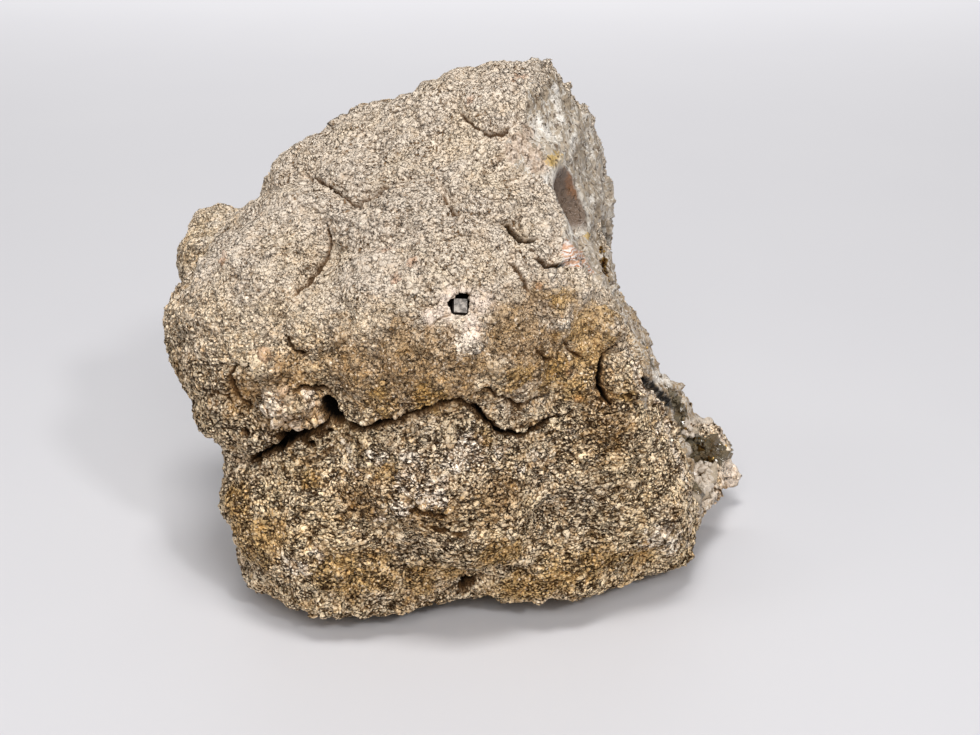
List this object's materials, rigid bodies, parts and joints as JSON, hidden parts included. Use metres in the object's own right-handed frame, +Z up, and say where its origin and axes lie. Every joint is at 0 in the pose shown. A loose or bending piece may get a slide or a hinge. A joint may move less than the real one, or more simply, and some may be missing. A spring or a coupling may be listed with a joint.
{
  "type": "pyrite geode",
  "caption": "Whole geode with a cauliflower rind, broken open on one side to show a thick chalcedony wall and a crystal-lined hollow.",
  "frame": {"origin": "under the middle of the stone's box, on the surface that it rests on", "axes": "+X out of the broken side and the hollow, +Z up, the belly with the small vug towards -Y"},
  "size_m": [0.157, 0.1118, 0.1392],
  "materials": {
    "rind_and_chalcedony": "rough, grainy beige rind; waxy white-grey chalcedony where broken",
    "crystal_crust": "glassy grey quartz points with tarnished brassy pyrite cubes"
  },
  "bodies": {
    "root": {"geode_stone": "rind_and_chalcedony", "crystal_crust": "crystal_crust"}
  },
  "joints": []
}
